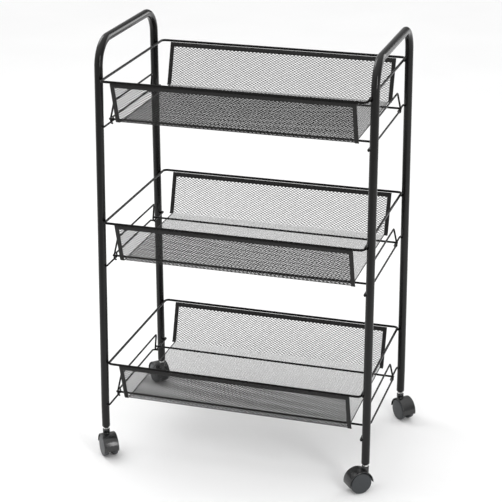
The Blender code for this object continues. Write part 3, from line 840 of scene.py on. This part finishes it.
def caster(name, side, end, turn_deg, hood_mesh):
    """One caster: hood, two wheels, socket and stem, turned about its stem by turn_deg."""
    x = side * FRAME_FOOT_X
    y = end * LEG_FOOT_Y
    stand = Matrix.Translation((x, y, WHEEL_R)) @ Matrix.Rotation(math.radians(turn_deg), 4, "Z")
    swivel = name + "_swivel"
    hood = linked(name + "_hood", hood_mesh.copy())
    place(hood, stand)
    finish_piece(hood, HOOD_PLASTIC, swivel, "hood_plastic", name + "_caster_hood")
    for letter, flip in (("a", 1.0), ("b", -1.0)):
        wheel = turned(f"{name}_disc_{letter}", wheel_profile(), WHEEL_SIDES)
        place(wheel, stand @ Matrix.Translation((0.0, -TRAIL, 0.0))
              @ Matrix.Rotation(math.radians(90.0) * flip, 4, "Y"))
        finish_piece(wheel, WHEEL_PLASTIC, f"{name}_wheel_{letter}_body", "wheel_plastic",
                     f"{name}_wheel_{letter}")
    shoulder = TUBE_FOOT_Z - GAP
    profile = [(STEM_R + GAP, PLUG_TOP_Z), (PLUG_TOP_R, PLUG_TOP_Z), (PLUG_R, PLUG_EDGE_Z),
               (PLUG_R, shoulder), (SOCKET_R, shoulder)]
    profile += arc((SOCKET_R - SOCKET_EDGE_R, SOCKET_FACE_Z + SOCKET_EDGE_R), SOCKET_EDGE_R,
                   0.0, -90.0, 8)
    profile += [(STEM_R + GAP, SOCKET_FACE_Z)]
    socket = turned(name + "_socket", profile, SOCKET_SIDES, closed_profile=True)
    place(socket, Matrix.Translation((x, y, 0.0)))
    finish_piece(socket, SOCKET_PLASTIC, "cart", "socket_plastic", name + "_caster_socket")
    collar_foot_z = NECK_TOP_Z + GAP
    profile = [(0.0, STEM_TOP_Z), (STEM_R - STEM_EDGE, STEM_TOP_Z),
               (STEM_R, STEM_TOP_Z - STEM_EDGE), (STEM_R, COLLAR_TOP_Z),
               (COLLAR_R - COLLAR_TOP_EDGE, COLLAR_TOP_Z),
               (COLLAR_R, COLLAR_TOP_Z - COLLAR_TOP_EDGE),
               (COLLAR_R, collar_foot_z + COLLAR_FOOT_EDGE),
               (COLLAR_R - COLLAR_FOOT_EDGE, collar_foot_z),
               (STEM_R, collar_foot_z), (STEM_R, STEM_FOOT_Z), (0.0, STEM_FOOT_Z)]
    stem = turned(name + "_stem", profile, STEM_SIDES)
    place(stem, Matrix.Translation((x, y, 0.0)))
    finish_piece(stem, PIN_STEEL, swivel, "pin_steel", name + "_caster_stem")
    dress(NODES[name + "_caster_axle"], PIN_STEEL)


# ================================================================ build the cart
side_frame(-1.0, "side_frame_left")
side_frame(1.0, "side_frame_right")
SECTION = Section()
for tier_name in TIERS:
    basket(tier_name, SECTION)
HOOD_MESH = hood_shape()
for caster_name, (caster_side, caster_end, caster_turn) in CASTERS.items():
    caster(caster_name, caster_side, caster_end, caster_turn, HOOD_MESH)


# ================================================================ floor, light and camera
def floor_paper():
    """Pale paper with a faint cloud, its colour fading to grey well in front of the cart as painted
    shade.
    """
    material, tree, shader = new_shader("pale_floor")
    cloud = spread(tree, noise(tree, FLOOR_CLOUD_SCALE, 3.0), 0.0, 1.0)
    paper = two_colours(tree, cloud, grey(FLOOR_PALE[0]), grey(FLOOR_PALE[1]))
    coords = tree.nodes.new("ShaderNodeTexCoord")
    apart = tree.nodes.new("ShaderNodeSeparateXYZ")
    tree.links.new(coords.outputs["Object"], apart.inputs["Vector"])
    # painted shade: blend the paper towards grey in front of the cart, in place of less light there
    painted_shade_fade = spread(tree, apart.outputs["Y"], 0.0, 1.0, FLOOR_PAINTED_SHADE_Y, FLOOR_PAINTED_SHADE_END_Y)
    mix = tree.nodes.new("ShaderNodeMix")
    mix.data_type = "RGBA"
    mix.inputs["A"].default_value = grey(FLOOR_PAINTED_SHADE_GREY)
    tree.links.new(paper, mix.inputs["B"])
    tree.links.new(painted_shade_fade, mix.inputs["Factor"])
    tree.links.new(mix.outputs["Result"], shader.inputs["Base Color"])
    grain = noise(tree, FLOOR_GRAIN_SCALE, 4.0)
    tree.links.new(spread(tree, grain, 0.55, 0.70), shader.inputs["Roughness"])
    shader.inputs["Specular IOR Level"].default_value = 0.15
    return material


def sky_part(tree, direction, axis, span, low, high):
    """Smooth change of the surroundings' brightness along one axis of the room."""
    made = tree.nodes.new("ShaderNodeMapRange")
    made.interpolation_type = "SMOOTHSTEP"
    made.inputs["From Min"].default_value = span[0]
    made.inputs["From Max"].default_value = span[1]
    made.inputs["To Min"].default_value = low
    made.inputs["To Max"].default_value = high
    tree.links.new(direction.outputs[axis], made.inputs["Value"])
    return made.outputs["Result"]


def combined(tree, operation, first, second):
    made = tree.nodes.new("ShaderNodeMath")
    made.operation = operation
    tree.links.new(first, made.inputs[0])
    tree.links.new(second, made.inputs[1])
    return made.outputs["Value"]


def studio_sky(world):
    """White room, brighter above, to the left and in front, with one window behind on the right."""
    world.use_nodes = True
    tree = world.node_tree
    background = tree.nodes["Background"]
    coords = tree.nodes.new("ShaderNodeTexCoord")
    direction = tree.nodes.new("ShaderNodeSeparateXYZ")
    tree.links.new(coords.outputs["Generated"], direction.inputs["Vector"])

    def part(axis, span, low, high):
        return sky_part(tree, direction, axis, span, low, high)

    sky = combined(tree, "ADD", part("Z", SKY_TOP_SPAN, 0.0, SKY_TOP),
                   part("X", SKY_LEFT_SPAN, SKY_LEFT, 0.0))
    sky = combined(tree, "ADD", sky, part("Y", SKY_FRONT_SPAN, SKY_FRONT, SKY_BACK))
    window = combined(tree, "MULTIPLY", part("X", WINDOW_X_SPAN, 0.0, SKY_WINDOW),
                      part("Y", WINDOW_Y_SPAN, 0.0, 1.0))
    window = combined(tree, "MULTIPLY", window, part("Z", WINDOW_Z_SPAN, 1.0, 0.0))
    sky = combined(tree, "ADD", sky, window)
    tree.links.new(sky, background.inputs["Strength"])
    background.inputs["Color"].default_value = (1.0, 1.0, 1.0, 1.0)


def softbox(name, at, size, power):
    lamp = bpy.data.lights.new(name, "AREA")
    lamp.shape = "RECTANGLE"
    lamp.size = size[0]
    lamp.size_y = size[1]
    lamp.energy = power
    made = linked(name, lamp)
    made.location = at
    made.rotation_euler = (Vector(LIGHT_AIM) - Vector(at)).to_track_quat("-Z", "Y").to_euler()
    return made


def main_camera():
    data = bpy.data.cameras.new("camera")
    made = linked("camera", data)
    data.sensor_width = CAMERA_SENSOR_W
    data.lens = CAMERA_LENS
    turn = math.radians(CAMERA_TURN_DEG)
    tip = math.radians(CAMERA_TIP_DEG)
    forward = Vector((-math.sin(turn) * math.cos(tip), math.cos(turn) * math.cos(tip),
                      -math.sin(tip)))
    right = Vector((math.cos(turn), math.sin(turn), 0.0))
    up = right.cross(forward)
    basis = Matrix((right, up, -forward)).transposed().to_4x4()
    made.matrix_world = Matrix.Translation(CAMERA_AT) @ basis
    return made


floor_corners = [(-FLOOR_HALF, -FLOOR_HALF, 0.0), (FLOOR_HALF, -FLOOR_HALF, 0.0),
                 (FLOOR_HALF, FLOOR_HALF, 0.0), (-FLOOR_HALF, FLOOR_HALF, 0.0)]
floor = mesh_object("studio_floor", floor_corners, [(0, 1, 2, 3)])
dress(floor, floor_paper())

scene = bpy.context.scene
scene.world = bpy.data.worlds.new("studio")
studio_sky(scene.world)
softbox("right_strip", at=(1.70, -1.45, 1.05), size=(0.40, 1.4), power=16.0)
softbox("left_top", at=(-1.30, 0.55, 1.75), size=(0.9, 0.9), power=10.0)
scene.view_settings.view_transform = "Standard"
scene.view_settings.look = "None"
scene.camera = main_camera()
